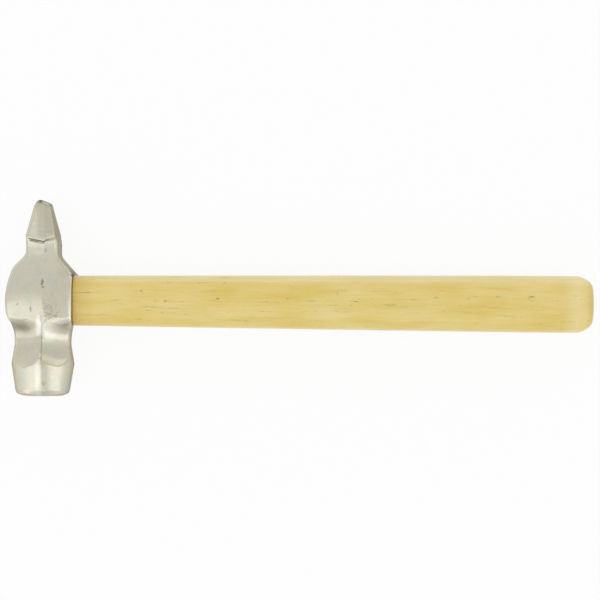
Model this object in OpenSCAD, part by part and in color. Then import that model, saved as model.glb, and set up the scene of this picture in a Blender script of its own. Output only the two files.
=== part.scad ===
// Machinist's hammer with a round face and a cross peen.
// It lies on its side: X runs along the handle to the butt, Y along the head
// to the peen, and Z up through the thickness. Every piece is drawn about the
// point where the handle's axis meets the head's, and place() moves it from there.

/* [Head] */
// From the eye's axis to the nose of the peen
peen_reach = 55.3; // [52:0.1:62]
// From the eye's axis to the striking face
poll_reach = 52; // [50:0.1:58]
// From the head's axis to the top of the bulge, away from the handle
bulge_reach = 19.7; // [18.5:0.1:22]
// Radius of the bulge
bulge_r = 42; // [34:1:50]
// From the head's axis to the flat that the handle's shoulder meets
seat_reach = 16.6; // [15.5:0.1:18]
// Thickness of the cheeks at the forging line
cheek_t = 30.4; // [28:0.1:33]
// Slope of the cheeks away from the forging line, in degrees
cheek_draft = 4; // [2:0.5:6]
// From the eye's axis to where the shoulders start to slope in to the neck
shoulder_reach = 15.8; // [14.5:0.1:17]
// Radius of the shoulder beside the bulge
bulge_shoulder_r = 8; // [5:0.5:9]
// Radius of the shoulder beside the handle
seat_shoulder_r = 3; // [1:0.5:5]

/* [Peen] */
// Width of the neck under the peen
neck_w = 18; // [16:0.1:20]
// Thickness of the neck under the lip of the peen
neck_t = 20; // [19:0.1:21.5]
// Radius of the hollow that joins the neck to the cheeks
neck_hollow_r = 26; // [24:1:28]
// Distance from the lip to the deepest line of the neck's hollow
neck_hollow_drop = 7; // [6:0.5:8]
// Radius where the neck meets the shoulders
neck_corner_r = 5; // [3:0.5:6]
// Thickness of the peen
peen_t = 23.6; // [22.6:0.1:25]
// Width of the peen where its nose starts
peen_nose_w = 9.6; // [8:0.1:11]
// Radius of the peen's nose
peen_nose_r = 2.2; // [1.2:0.1:2.6]
// Size of the corners cut off at the ends of the nose
peen_corner_cut = 2.5; // [1:0.1:4]
// How much higher than the neck's flank the peen starts to narrow
peen_base_rise = 2.5; // [1:0.1:5]
// From the eye's axis to the lip of the peen
lip_reach = 32.4; // [31:0.1:34]
// Slope of the lip, which points at the eye, in degrees
lip_slope = 11; // [4:1:16]

/* [Poll] */
// Largest diameter of the poll
poll_d = 34.4; // [33:0.1:37]
// From the eye's axis to the end of the poll's largest diameter
poll_wide_reach = 35; // [34:0.1:38]
// Diameter of the poll at the rim of the face
face_d = 30; // [28:0.1:32]
// Height of the rounded rim of the face
face_rim_h = 3.2; // [2:0.1:4.5]
// Diameter of the flat on the striking face
face_flat_d = 22; // [16:0.5:25]
// Width of the waist between eye and poll
waist_w = 30.6; // [28:0.1:32]
// From the eye's axis to the middle of the waist
waist_reach = 22.3; // [21:0.1:24]
// Radius of the hollow on each side of the waist
waist_hollow_r = 24; // [20:0.5:28]
// Thickness of the ridge between the four hollow lobes of the waist
ridge_t = 27.8; // [26:0.1:28.6]
// Distance from the handle's axis to the deepest line of the lobes
lobe_reach = 20.8; // [20:0.1:22]
// Radius of each lobe's hollow on the side of the poll
lobe_r = 30; // [27:1:33]
// Radius of each lobe's hollow on the side of the cheek
lobe_top_r = 13; // [12:0.5:15]
// Slope of each lobe away from the ridge, in degrees
lobe_slope = 30; // [26:1:33]

/* [Eye] */
// Length of the eye at both of its mouths, along the head
eye_mouth_l = 24.4; // [22:0.1:26]
// Width of the eye at both of its mouths, across the cheeks
eye_mouth_w = 16.4; // [14.5:0.1:18]
// Drop in the eye's half width from a mouth to its middle
eye_taper = 0.8; // [0.3:0.05:1.2]
// Clearance round the handle's tongue and the wedges
fit_gap = 0.05; // [0.03:0.01:0.15]
// How far the tongue's end stays below the top of the bulge
tongue_recess = 1.9; // [1.8:0.1:2.5]

/* [Handle] */
// Length of the handle from the head's flat to the butt
handle_l = 283.7; // [260:0.1:330]
// Height of the handle at the head
handle_neck_h = 27.2; // [24:0.1:30]
// Thickness of the handle at the head
handle_neck_t = 20.4; // [18:0.1:24]
// Height of the handle at the grip
handle_grip_h = 31; // [28:0.1:35]
// Thickness of the handle at the grip
handle_grip_t = 22.6; // [20:0.1:26]
// Length of the rounded end at the butt
butt_round_l = 9.5; // [6:0.5:14]
// From the head's flat to where the handle reaches its full height
swell_run = 243; // [200:1:255]
// Squareness of the oval section, where 2 is an ellipse
section_power = 2.8; // [2.2:0.1:3.6]

/* [Wedges] */
// Thickness of the wooden wedge at its top
wood_wedge_t = 4.6; // [3.5:0.1:5.5]
// Thickness of the wooden wedge at its tip
wood_wedge_tip_t = 1.2; // [1:0.1:1.6]
// Length of the wooden wedge
wood_wedge_l = 25; // [20:0.5:28]
// Width of the saw kerf in the tongue
kerf_w = 1; // [0.6:0.1:1]
// Depth of the saw kerf, from the tongue's end
kerf_depth = 30; // [28.5:0.5:33]
// Thickness of a steel wedge at its top
steel_wedge_t = 3.2; // [2.5:0.1:4]
// Thickness of a steel wedge at its tip
steel_wedge_tip_t = 0.8; // [0.5:0.1:1.2]
// Width of a steel wedge
steel_wedge_w = 12; // [9:0.5:12.5]
// Length of a steel wedge
steel_wedge_l = 22; // [16:0.5:26]
// Distance between the two steel wedges
steel_wedge_pitch = 10.5; // [8:0.5:12]
// Depth of the barbs on a steel wedge
barb_depth = 0.6; // [0.3:0.1:1]

/* [Hidden] */
$fn = 96;
// Points on each rounded corner of an outline
corner_steps = 10;
// Points round each section of the handle
section_points = 40;
// Sections along the handle's body, and along its rounded butt
body_steps = 18;
butt_steps = 8;
// How far a cut runs past what it cuts
over = 5;
// How much deeper a lobe is on the side of the cheek, so that its two hollows cross cleanly
lobe_cross = 0.03;

butt_x = seat_reach + handle_l;
cheek_half = cheek_t / 2;
poll_r = poll_d / 2;
waist_half = waist_w / 2;
// The shoulders between the eye and the neck slope at 45 degrees
seat_neck_y = shoulder_reach + seat_reach - neck_w / 2;
// The bulge is an arc between two straight runs at this slope
bulge_turn = 17;
bulge_corner_x = -bulge_reach - bulge_r * (1 / cos(bulge_turn) - 1);
bulge_shoulder_y = shoulder_reach + (seat_reach - neck_w / 2) * 0.26;
bulge_neck_y = bulge_shoulder_y - bulge_corner_x - bulge_shoulder_y * tan(bulge_turn) - neck_w / 2;
bulge_under_y = -waist_reach * 0.73;
// The forging line leaves the body of the eye inside the poll
boss_end_y = -waist_reach - 2;
poll_top_y = -waist_reach + 4;
tongue_end_x = -bulge_reach + tongue_recess;
eye_round_r = eye_mouth_w / 2;
eye_half_pitch = (eye_mouth_l - eye_mouth_w) / 2;
eye_mid_x = (seat_reach - bulge_reach) / 2;

// Points of an arc that rounds corner b, between a and c, to radius r
function corner_arc(a, b, c, r) = r <= 0 ? [b] :
    let (
        u = (a - b) / norm(a - b),
        v = (c - b) / norm(c - b),
        half = acos(u * v) / 2,
        m = b + (u + v) / norm(u + v) * r / sin(half),
        p = b + u * r / tan(half) - m,
        q = b + v * r / tan(half) - m,
        start = atan2(p[1], p[0]),
        turn = (atan2(q[1], q[0]) - start + 540) % 360 - 180
    )
    [for (i = [0 : corner_steps])
        let (angle = start + turn * i / corner_steps)
        m + r * [cos(angle), sin(angle)]];

// An outline from corners given as [x, y, radius]
function rounded(corners) = let (n = len(corners), xy = [for (k = corners) [k[0], k[1]]])
    [for (i = [0 : n - 1])
        each corner_arc(xy[(i + n - 1) % n], xy[i], xy[(i + 1) % n], corners[i][2])];

// Everything moves so that the origin is under the middle of the whole hammer
module place() {
    translate([-(butt_x - bulge_reach) / 2, -(peen_reach - poll_reach) / 2, poll_r]) children();
}

// What is drawn for the quarter with x > 0 and z > 0 appears in all four quarters
module quarters() {
    for (sx = [0, 1], sz = [0, 1]) mirror([sx, 0, 0]) mirror([0, 0, sz]) children();
}

// Outline of the eye's body, neck and peen, as seen along Z
module front_outline() {
    nose_y = peen_reach - peen_nose_w / 2;
    flank_y = lip_reach + peen_base_rise;
    under_x = bulge_corner_x - bulge_under_y * tan(bulge_turn);
    polygon(rounded([
        [seat_reach, boss_end_y, 0],
        [seat_reach, shoulder_reach, seat_shoulder_r],
        [neck_w / 2, seat_neck_y, neck_corner_r],
        [neck_w / 2, flank_y, peen_nose_r],
        [peen_nose_w / 2, nose_y, peen_nose_r],
        [peen_nose_w / 4, peen_reach, peen_nose_r],
        [-peen_nose_w / 4, peen_reach, peen_nose_r],
        [-peen_nose_w / 2, nose_y, peen_nose_r],
        [-neck_w / 2, flank_y, peen_nose_r],
        [-neck_w / 2, bulge_neck_y, neck_corner_r],
        [bulge_corner_x + bulge_shoulder_y * tan(bulge_turn), bulge_shoulder_y, bulge_shoulder_r],
        [bulge_corner_x, 0, bulge_r],
        [under_x, bulge_under_y, neck_corner_r],
        [under_x, boss_end_y, 0]
    ]));
}

// A bar along Y with a section like two low roofs, thick on the forging line
module roofed_bar(thickness, y0, y1) {
    side = 30;
    drop = side * tan(cheek_draft);
    half = thickness / 2;
    translate([0, y1, 0]) rotate([90, 0, 0]) linear_extrude(y1 - y0)
        polygon([
            [0, half], [side, half - drop], [side, drop - half],
            [0, -half], [-side, drop - half], [-side, half - drop]
        ]);
}

// The peen's thickness, with its nose corners cut off
module peen_bar() {
    cut = peen_corner_cut;
    half = peen_t / 2;
    rotate([90, 0, 90]) translate([0, 0, -30]) linear_extrude(60)
        polygon([
            [0, -half], [peen_reach - cut, -half], [peen_reach, -half + cut],
            [peen_reach, half - cut], [peen_reach - cut, half], [0, half]
        ]);
}

module boss_and_peen() {
    intersection() {
        translate([0, 0, -cheek_half - over]) linear_extrude(cheek_t + 2 * over) front_outline();
        union() {
            roofed_bar(cheek_t, boss_end_y - over, lip_reach - 1);
            intersection() {
                roofed_bar(peen_t, 0, peen_reach + over);
                peen_bar();
            }
        }
    }
}

module poll() {
    face_r = face_d / 2;
    rotate([90, 0, 0]) rotate_extrude()
        polygon([
            [0, -poll_top_y],
            [poll_r, -poll_top_y],
            [poll_r, poll_wide_reach],
            [face_r, poll_reach - face_rim_h],
            [face_r - face_rim_h * 0.25, poll_reach - face_rim_h * 0.4],
            [face_flat_d / 2, poll_reach],
            [0, poll_reach]
        ]);
}

// One hollow lobe of the waist, sloping down from the ridge
module lobe_cut() {
    intersection() {
        union() {
            lobe_hollow(lobe_top_r, lobe_cross);
            intersection() {
                lobe_hollow(lobe_r, 0);
                translate([-20, -poll_reach - lobe_reach, -20]) cube([60, poll_reach, 80]);
            }
        }
        translate([0, -poll_reach, 0]) cube([30, poll_reach, 40]);
    }
}

// A round hollow across the head, sloping down from the ridge
module lobe_hollow(radius, sunk) {
    translate([0, -lobe_reach, ridge_t / 2 + radius / cos(lobe_slope) - sunk])
        rotate([0, 90 + lobe_slope, 0]) translate([0, 0, -20]) cylinder(h = 70, r = radius);
}

// The hollow on one side of the waist
module waist_side_cut() {
    translate([waist_half + waist_hollow_r, -waist_reach, -30]) cylinder(h = 60, r = waist_hollow_r);
}

// The hollow of the neck, which ends at the lip of the peen
module neck_cut() {
    intersection() {
        translate([0, lip_reach - neck_hollow_drop, neck_t / 2 + neck_hollow_r])
            rotate([0, 90 + cheek_draft, 0]) translate([0, 0, -over]) cylinder(h = 40, r = neck_hollow_r);
        translate([0, lip_reach, 0]) rotate([0, 0, lip_slope]) translate([-20, -30, 0]) cube([60, 30, 40]);
        cube([30, peen_reach, 40]);
    }
}

// The eye, narrow in the middle and wide at both mouths, drawn smaller by a gap
module eye(gap) {
    mouth = eye_round_r - gap;
    middle = mouth - eye_taper;
    for (end = [[eye_mid_x, seat_reach], [eye_mid_x, -bulge_reach]]) {
        run = end[1] - end[0];
        // The same slope goes on past the mouth
        extra = over * sign(run);
        wide = mouth + eye_taper * over / abs(run);
        for (side = [-1, 1])
            translate([end[0], side * eye_half_pitch, 0]) rotate([0, 90 * sign(run), 0])
                cylinder(h = abs(run) + over, r1 = middle, r2 = wide);
        translate([0, eye_half_pitch, 0]) rotate([90, 0, 0]) linear_extrude(2 * eye_half_pitch)
            polygon([
                [end[0], middle], [end[1] + extra, wide],
                [end[1] + extra, -wide], [end[0], -middle]
            ]);
    }
}

module head() {
    color("#bcb8a3") place() difference() {
        union() {
            boss_and_peen();
            poll();
        }
        quarters() lobe_cut();
        quarters() neck_cut();
        for (sx = [0, 1]) mirror([sx, 0, 0]) waist_side_cut();
        eye(0);
    }
}

// Share of the way from the neck's size to the grip's, at a distance along the handle
function swell(x) = pow(min(1, max(0, (x - seat_reach) / swell_run)), 0.85);

// How much of the section is left in the rounded butt, which ends in a small flat
function butt_share(x) = let (t = max(0, 1 - (butt_x - x) / butt_round_l))
    pow(1 - 0.998 * pow(t, 2.7), 1 / 2.7);

function section_at(x) = let (
        half_h = (handle_neck_h + (handle_grip_h - handle_neck_h) * swell(x)) / 2,
        half_t = (handle_neck_t + (handle_grip_t - handle_neck_t) * swell(x)) / 2,
        share = butt_share(x),
        e = 2 / section_power
    )
    [for (i = [0 : section_points - 1])
        let (
            angle = 360 * i / section_points,
            c = cos(angle),
            s = sin(angle)
        )
        [
            x,
            share * half_h * sign(c) * pow(abs(c), e),
            share * half_t * sign(s) * pow(abs(s), e)
        ]];

handle_stations = [
    for (i = [0 : body_steps]) seat_reach + (butt_x - butt_round_l - seat_reach) * i / body_steps,
    for (i = [1 : butt_steps]) butt_x - butt_round_l * (1 - sin(90 * i / butt_steps))
];

module handle_body() {
    n = section_points;
    last = len(handle_stations) - 1;
    points = [for (x = handle_stations) each section_at(x)];
    sides = [for (k = [0 : last - 1], i = [0 : n - 1])
        let (j = (i + 1) % n)
        each [
            [k * n + i, (k + 1) * n + i, k * n + j],
            [k * n + j, (k + 1) * n + i, (k + 1) * n + j]
        ]];
    near_end = [for (i = [0 : n - 1]) i];
    far_end = [for (i = [n - 1 : -1 : 0]) last * n + i];
    polyhedron(points = points, faces = concat(sides, [near_end], [far_end]), convexity = 4);
}

// The tongue fills the eye, stops short of the bulge and grows out of the handle's body
module tongue_block() {
    root = 3;
    intersection() {
        eye(fit_gap);
        translate([tongue_end_x, -20, -20]) cube([seat_reach + root - tongue_end_x, 40, 40]);
    }
}

// A wedge outline that points along X, thick at the tongue's end
module wedge_outline(top_t, tip_t, length, gap) {
    polygon([
        [tongue_end_x, top_t / 2 + gap], [tongue_end_x, -top_t / 2 - gap],
        [tongue_end_x + length, -tip_t / 2 - gap], [tongue_end_x + length, tip_t / 2 + gap]
    ]);
}

// The wooden wedge runs along the eye and spreads the tongue against the cheeks
module wooden_wedge_block(gap) {
    rotate([90, 0, 0]) translate([0, 0, -20]) linear_extrude(40)
        wedge_outline(wood_wedge_t, wood_wedge_tip_t, wood_wedge_l, gap);
}

// A steel wedge crosses the wooden one and spreads the tongue along the head
module steel_wedge_block(gap) {
    half_w = steel_wedge_w / 2 + gap;
    translate([0, 0, -half_w]) linear_extrude(2 * half_w)
        wedge_outline(steel_wedge_t, steel_wedge_tip_t, steel_wedge_l, gap);
}

module steel_slots() {
    for (side = [-1, 1]) translate([0, side * steel_wedge_pitch / 2, 0]) steel_wedge_block(fit_gap);
}

module handle() {
    color("#dcc588") place() {
        handle_body();
        difference() {
            tongue_block();
            wooden_wedge_block(fit_gap);
            translate([tongue_end_x - 1, -20, -kerf_w / 2]) cube([kerf_depth + 1, 40, kerf_w]);
            steel_slots();
        }
    }
}

module wooden_wedge() {
    color("#c9a262") place() difference() {
        intersection() {
            tongue_block();
            wooden_wedge_block(0);
        }
        steel_slots();
    }
}

// The barbs are notches along both edges of the wedge
module steel_wedge(side) {
    barbs = 3;
    step = steel_wedge_l / (barbs + 1);
    color("#8d8c86") place() translate([0, side * steel_wedge_pitch / 2, 0]) difference() {
        steel_wedge_block(0);
        for (edge = [0, 1], i = [1 : barbs])
            mirror([0, 0, edge]) translate([tongue_end_x + step * i, -over, steel_wedge_w / 2])
                rotate([-90, 0, 0]) linear_extrude(2 * over)
                    polygon([[0, barb_depth], [step * 0.6, 0], [step * 0.6, -1], [0, -1]]);
    }
}

module steel_wedge_upper() { steel_wedge(1); }
module steel_wedge_lower() { steel_wedge(-1); }

head();
handle();
wooden_wedge();
steel_wedge_upper();
steel_wedge_lower();
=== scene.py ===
import math

import bpy
import numpy as np
from mathutils import Matrix, Vector, noise


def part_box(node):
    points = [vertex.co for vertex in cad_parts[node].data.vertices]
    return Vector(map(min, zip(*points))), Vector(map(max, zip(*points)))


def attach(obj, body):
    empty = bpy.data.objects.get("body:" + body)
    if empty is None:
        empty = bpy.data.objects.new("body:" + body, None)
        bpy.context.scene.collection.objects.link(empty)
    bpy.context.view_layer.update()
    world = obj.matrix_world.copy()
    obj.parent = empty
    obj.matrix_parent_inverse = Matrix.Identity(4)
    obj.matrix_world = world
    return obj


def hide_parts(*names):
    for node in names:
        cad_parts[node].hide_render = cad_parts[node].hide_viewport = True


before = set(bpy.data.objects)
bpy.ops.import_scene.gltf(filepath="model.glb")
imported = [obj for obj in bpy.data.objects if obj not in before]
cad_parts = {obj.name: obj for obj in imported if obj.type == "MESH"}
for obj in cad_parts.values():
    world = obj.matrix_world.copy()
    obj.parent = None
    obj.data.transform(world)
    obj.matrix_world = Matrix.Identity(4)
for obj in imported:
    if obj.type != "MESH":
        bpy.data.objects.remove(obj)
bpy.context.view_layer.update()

# Sizes are in millimetres about the hub, the point where the handle's axis meets the head's,
# with x along the handle to the butt, y along the head to the peen and z through the thickness.
MM = 0.001

# Head: the outline seen from above, with the bulge on the side away from the handle
PEEN_REACH = 55.3
POLL_REACH = 52.0
BODY_END_REACH = 24.3
BULGE_REACH = 19.7
BULGE_R = 42.0
BULGE_TURN = math.radians(17)
BULGE_SHOULDER_REACH = 17.776
BULGE_SHOULDER_R = 12.0
BULGE_UNDER_REACH = 16.279
NECK_W = 18.0
NECK_CORNER_R = 5.0
FLANK_FOOT_REACH = 34.9
FLANK_CORNER_R = 2.2
NOSE_W = 9.6
NOSE_TOP_X = (-2.6, -0.3)
NOSE_TOP_R = (1.4, 1.5)

# Head: the same on the handle's side, up from the seat, the flat that the handle's body meets
SEAT_REACH = 16.6
SEAT_BURR = (18.8, 13.2)
SEAT_BURR_R = 0.3
SEAT_BURR_DROP = 5.0
SEAT_BURR_SLOPE = 0.7
SEAT_NECK_X = 9.5
SEAT_NECK_REACH = (23.8, 30.9)
FLANK_FOOT_X = 8.6
NOSE_CORNER = (5.75, 51.4)
NOSE_CORNER_R = 3.5
# How much this side leans in towards the upper face, per millimetre: at the seat, on the neck
# and, for each millimetre out along the peen, on the peen's flank
SEAT_LEAN = 0.035
NECK_LEAN = 0.06
FLANK_LEAN = 0.005
# Where the lean sets in, as (start, run)
LEAN_ACROSS = (3, 3)
LEAN_ALONG = (12, 2)
NECK_LEAN_ALONG = (22, 4)
# How fast the peen's flank lets go below its foot
FLANK_RELEASE = 1.5

# Head: the cheeks, which fall off to both sides of the forging line and down to the waist
CHEEK_T = 30.4
CHEEK_DRAFT = math.radians(4)
CHEEK_TOP_ROUND = 0.3
CROWN_Y = -1.5
CROWN_RUN = 9.0
CROWN_ROUND = (4.0, 3.0)
CROWN_SLOPE = (0.03, 0.135)
CHEEK_DENT_Y = 9.5
CHEEK_DENT_HALF = (0.8, 3.0)
CHEEK_DENT_SOFT = 1.6
CHEEK_DENT_DEPTH = 0.45

# Head: the neck, and the peen with its lip
NECK_T = 20.0
NECK_HOLLOW_R = 29.0
NECK_HOLLOW_DROP = 7.0
NECK_LIP_R = 20.0
NECK_LIP_RUN = 4.4
PEEN_T = 23.6
PEEN_TOP_ROUND = 0.4
LIP_REACH = 32.4
LIP_SLOPE = math.radians(11)
LIP_STEP = 0.75
LIP_STEP_W = 0.8
LIP_OVERLAP = 3
# The groove under the lip: its depth left and right of the forging line, its width and its half run
GROOVE_DEPTH = (0.45, 0.05)
GROOVE_W = 0.45
GROOVE_TURN_W = 0.6
GROOVE_HALF_RUN = 9.3
GROOVE_FADE = 1.5

# Head: the waist with its lobes, whose radius changes from the ridge between them outwards
WAIST_W = 30.6
WAIST_REACH = 22.3
WAIST_HOLLOW_R = 24.0
RIDGE_T = 27.0
RIDGE_ROUND = 0.6
RIDGE_HALF_W = 4.5
LOBE_REACH = 21.7
LOBE_R = 23.0
LOBE_TOP_R = 9.5
LOBE_RIDGE_R = 22.0
LOBE_CUSP_R = (13.3, 17.5)
LOBE_SLOPE = math.radians(30)
# A hollow is round up to this share of its radius, and then rises straight
HOLLOW_BEND = 0.9
HOLLOW_STEEPNESS = 2

# Head: the poll, from the flat of its face to its widest ring
POLL_R = 17.2
POLL_WIDE_REACH = 35.0
POLL_TOP_REACH = 18.3
POLL_CORNER_R = 6
FACE_FLAT_R = 11.0
FACE_FLAT_CORNER_R = 1.5
FACE_RIM_R = 14.2
FACE_RIM_STEP = 1.28
FACE_RIM_CORNER_R = 1.2
FACE_R = 15.0
FACE_RIM_H = 3.2
FACE_CORNER_R = 4
BEYOND_AXIS = 30
POLL_INSET = 0.1

# Head: radii and blends of its forged edges; of a pair, the second is on the handle's side
EDGE_R = 1.9
SCALLOP_R = 0.45
SCALLOP_FADE = (-24, -5)
LIP_R = (0.5, 2.0)
LIP_FILLET = (0.3, 1.8)
LIP_TURN_W = 2
NOSE_END_R = 3.0
NOSE_EDGE_R = 3.0
NOSE_EDGE_RUN = 18
EYE_RIM_R = 0.6
WAIST_EDGE_R = 1.6
CHEEK_BLEND = 2.6
NECK_BLEND = 3.0
POLL_BLEND = 0.6

# Head: the forging line, with a low ridge on the poll and a thin flash, as (height, half width)
SEAM_X = 0.6
SEAM_LEAN = 1.0
SEAM_LEAN_ALONG = (12, 20)
SEAM_RIDGE = (0.18, 3.0)
SEAM_RIDGE_FADE = 4
SEAM_RIDGE_Z = 8
SEAM_FLASH = (0.10, 0.35)

# Head: unevenness of the forging, with its mean depth, then its layers as (size, shift of the
# pattern, depth), and the place of the roughest one, which is the scale on the cheek
DENT_DEPTH = 0.10
BROAD_DENTS = (9.0, 0.0, 0.06)
FINE_DENTS = (2.2, 40.0, 0.025)
SCALE_DENTS = (1.1, 9.0, 0.07)
SCALE_MIDDLE = (3.5, -7)
SCALE_R = 5

# Head: the mesh
HEAD_GRID = 0.5
HEAD_MARGIN = 1.5

# Eye and the handle's tongue
EYE_MOUTH_L = 24.4
EYE_MOUTH_W = 16.4
EYE_TAPER = 0.8
EYE_MIDDLE_X = (SEAT_REACH - BULGE_REACH) / 2
EYE_HALF_RUN = (SEAT_REACH + BULGE_REACH) / 2
EYE_HALF_PITCH = (EYE_MOUTH_L - EYE_MOUTH_W) / 2
FIT_GAP = 0.05
TONGUE_RECESS = 1.9
TONGUE_CHAMFER = 0.8
TONGUE_END_X = TONGUE_RECESS - BULGE_REACH

# Handle, with its section's height and thickness at the neck and at the grip
HANDLE_L = 283.3
HANDLE_NECK = (27.2, 20.4)
HANDLE_GRIP = (31.0, 22.6)
SWELL_RUN = 243.0
SWELL_POWER = 0.85
SECTION_POWER = 2.8
SHOULDER_GAP = 0.02
# The shoulder's broken edge, as (distance from the shoulder, how much the section is drawn in)
SHOULDER_EDGE = [(0, 0.15), (0.05, 0.05), (0.2, 0)]
SHOULDER_RUN = 3
BUTT_X = SEAT_REACH + HANDLE_L
BUTT_ROUND_L = 9.5
BUTT_POWER = 1.6
BUTT_FLAT = 0.63
BUTT_DOME = 1.0
BUTT_TIP = 0.02

# Handle: how finely it is meshed
HANDLE_TURNS = 128
TONGUE_RINGS = 14
BODY_RINGS = 90
BUTT_RINGS = 14
DOME_RINGS = 6

# Wedges, as thickness at the tongue's end, thickness at the tip, length
WOOD_WEDGE = (4.6, 1.2, 25.0)
STEEL_WEDGE = (3.2, 0.8, 22.0)
STEEL_WEDGE_W = 12.0
STEEL_WEDGE_PITCH = 10.5
KERF_W = 1.0
KERF_DEPTH = 30.0
SLOT_HALF_W = 20
SLOT_START = 1
# Where the wooden wedge's even rings start, from the tongue's end, and how many there are
WOOD_WEDGE_FIRST_RING = 3
WOOD_WEDGE_RINGS = 8

# The hub's place in the frame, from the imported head
head_low, head_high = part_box("head")
HUB = Vector((
    head_low[0] + BULGE_REACH * MM,
    head_high[1] - PEEN_REACH * MM,
    (head_low[2] + head_high[2]) / 2,
))


# Outlines, which are lists of points

def corner_arc(before, corner, after, radius, steps=10):
    """Points of the arc that rounds a corner of an outline."""
    if radius <= 0:
        return [corner]
    to_before = (before - corner).normalized()
    to_after = (after - corner).normalized()
    half = to_before.angle(to_after) / 2
    centre = corner + (to_before + to_after).normalized() * radius / math.sin(half)
    first = corner + to_before * radius / math.tan(half) - centre
    last = corner + to_after * radius / math.tan(half) - centre
    start = math.atan2(first.y, first.x)
    turn = (math.atan2(last.y, last.x) - start + 3 * math.pi) % (2 * math.pi) - math.pi
    angles = [start + turn * i / steps for i in range(steps + 1)]
    return [centre + radius * Vector((math.cos(a), math.sin(a))) for a in angles]


def rounded(corners):
    """An outline from corners given as (x, y, radius)."""
    spots = [Vector((x, y)) for x, y, _ in corners]
    outline = []
    for i, (_, _, radius) in enumerate(corners):
        outline += corner_arc(spots[i - 1], spots[i], spots[(i + 1) % len(spots)], radius)
    return outline


def front_outline():
    """The eye's body, neck and peen as seen from above."""
    half_neck = NECK_W / 2
    half_nose = NOSE_W / 2
    slope = math.tan(BULGE_TURN)
    bulge_x = -BULGE_REACH - BULGE_R * (1 / math.cos(BULGE_TURN) - 1)
    shoulder_x = bulge_x + BULGE_SHOULDER_REACH * slope
    under_x = bulge_x + BULGE_UNDER_REACH * slope
    return rounded([
        (SEAT_REACH, -BODY_END_REACH, 0),
        (SEAT_REACH, SEAT_BURR[1], 0),
        (*SEAT_BURR, SEAT_BURR_R),
        (SEAT_NECK_X, SEAT_NECK_REACH[0], NECK_CORNER_R),
        (SEAT_NECK_X, SEAT_NECK_REACH[1], NECK_CORNER_R),
        (FLANK_FOOT_X, FLANK_FOOT_REACH, FLANK_CORNER_R),
        (*NOSE_CORNER, NOSE_CORNER_R),
        (NOSE_TOP_X[1], PEEN_REACH, NOSE_TOP_R[1]),
        (NOSE_TOP_X[0], PEEN_REACH, NOSE_TOP_R[0]),
        (-half_nose, PEEN_REACH - half_nose, FLANK_CORNER_R),
        (-half_neck, FLANK_FOOT_REACH, FLANK_CORNER_R),
        (-half_neck, BULGE_SHOULDER_REACH - shoulder_x - half_neck, NECK_CORNER_R),
        (shoulder_x, BULGE_SHOULDER_REACH, BULGE_SHOULDER_R),
        (bulge_x, 0, BULGE_R),
        (under_x, -BULGE_UNDER_REACH, NECK_CORNER_R),
        (under_x, -BODY_END_REACH, 0),
    ])


def poll_outline():
    """Half of the poll's section, as (radius, y)."""
    return rounded([
        (-BEYOND_AXIS, -POLL_TOP_REACH, 0),
        (-BEYOND_AXIS, -POLL_REACH, 0),
        (FACE_FLAT_R, -POLL_REACH, FACE_FLAT_CORNER_R),
        (FACE_RIM_R, FACE_RIM_STEP - POLL_REACH, FACE_RIM_CORNER_R),
        (FACE_R, FACE_RIM_H - POLL_REACH, FACE_CORNER_R),
        (POLL_R, -POLL_WIDE_REACH, POLL_CORNER_R),
        (POLL_R, -POLL_TOP_REACH, 0),
    ])


FRONT = front_outline()
POLL = poll_outline()


def outline_distance(px, py, outline):
    """Distance to a closed outline, negative inside it."""
    px, py = np.broadcast_arrays(px, py)
    nearest = np.full(px.shape, 1e9)
    inside = np.zeros(px.shape, bool)
    for a, b in zip(outline, outline[1:] + outline[:1]):
        ex, ey = b.x - a.x, b.y - a.y
        along = ((px - a.x) * ex + (py - a.y) * ey) / (ex * ex + ey * ey + 1e-12)
        along = np.clip(along, 0, 1)
        nearest = np.minimum(nearest, (px - a.x - along * ex) ** 2 + (py - a.y - along * ey) ** 2)
        if ey:
            crosses = (a.y > py) != (b.y > py)
            inside ^= crosses & (px < ex * (py - a.y) / ey + a.x)
    return np.where(inside, -1, 1) * np.sqrt(nearest)


# Ways to join shapes, given as distances to them, and heights

def both(a, b, radius):
    """What lies in two shapes at once, with the edge between them rounded."""
    over = np.hypot(np.maximum(a + radius, 0), np.maximum(b + radius, 0))
    return np.minimum(np.maximum(a, b), -radius) + over


def either(a, b, blend):
    """What lies in one of two shapes, with the corner between them filled a little."""
    share = np.clip(0.5 + 0.5 * (b - a) / blend, 0, 1)
    return b + (a - b) * share - blend * share * (1 - share)


def lower(a, b, blend):
    """The lower of two heights, with a smooth passage between them."""
    return (a + b - np.sqrt((a - b) ** 2 + blend * blend)) / 2


def smooth_step(value):
    """0 up to a value of 0 and 1 from a value of 1, with a smooth passage between."""
    value = np.clip(value, 0, 1)
    return value * value * (3 - 2 * value)


def passed(value, start, run):
    """How far a value has passed from a start over a run, from 0 to 1."""
    return smooth_step((value - start) / run)


def between(first, second, share):
    """A value between two others."""
    return first + (second - first) * share


def fallen(across, rounding, slope):
    """How far a roof has fallen at a distance from its ridge, which is rounded."""
    return (np.hypot(across, rounding) - rounding) * math.tan(slope)


# The head, as a distance to its surface

def seam_offset(x, y):
    """Distance across from the forging line, which leans a little towards the peen."""
    return x - SEAM_X - SEAM_LEAN * passed(y, *SEAM_LEAN_ALONG)


def lip_line(across):
    """Height of the peen's lip along the head, with a step where the two dies met."""
    step = LIP_STEP * smooth_step(0.5 - across / LIP_STEP_W)
    return LIP_REACH + np.abs(across) * math.tan(LIP_SLOPE) - step


def hollow_rise(run, radius):
    """How far a round hollow has risen, at a distance from its deepest line."""
    run = np.abs(run)
    bent = np.minimum(run, radius * HOLLOW_BEND)
    rise = radius - np.sqrt(radius * radius - bent * bent)
    return rise + (run - bent) * HOLLOW_STEEPNESS


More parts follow.
